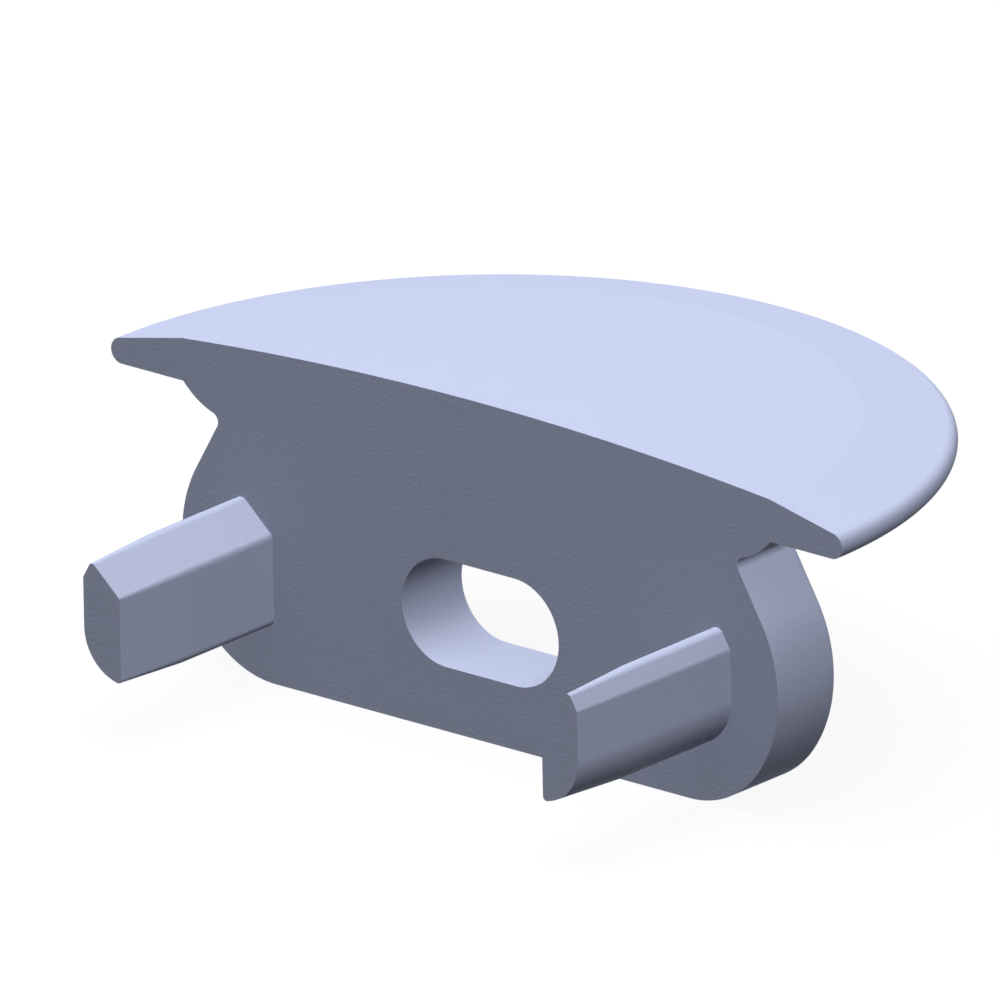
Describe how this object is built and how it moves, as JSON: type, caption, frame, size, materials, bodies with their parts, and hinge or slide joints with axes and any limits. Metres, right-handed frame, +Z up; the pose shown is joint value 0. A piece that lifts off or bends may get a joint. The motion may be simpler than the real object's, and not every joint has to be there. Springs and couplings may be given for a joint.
{
  "type": "profile end cap",
  "caption": "Moulded end cap for a recessed winged profile: half-round domed cover, upright plate with a cable slot, and tapered push-in pegs.",
  "frame": {"origin": "on the front face that butts against the extrusion's end, on the centre line, level with the cover's flat underside", "axes": "+X along the front face, +Y to the back, away from the extrusion, +Z up out of the dome; the pegs point along -Y"},
  "size_m": [0.0316, 0.0232, 0.0118],
  "materials": {
    "cap_plastic": "moulded, fine matt"
  },
  "bodies": {
    "root": {"end_cap": "cap_plastic"}
  },
  "joints": []
}
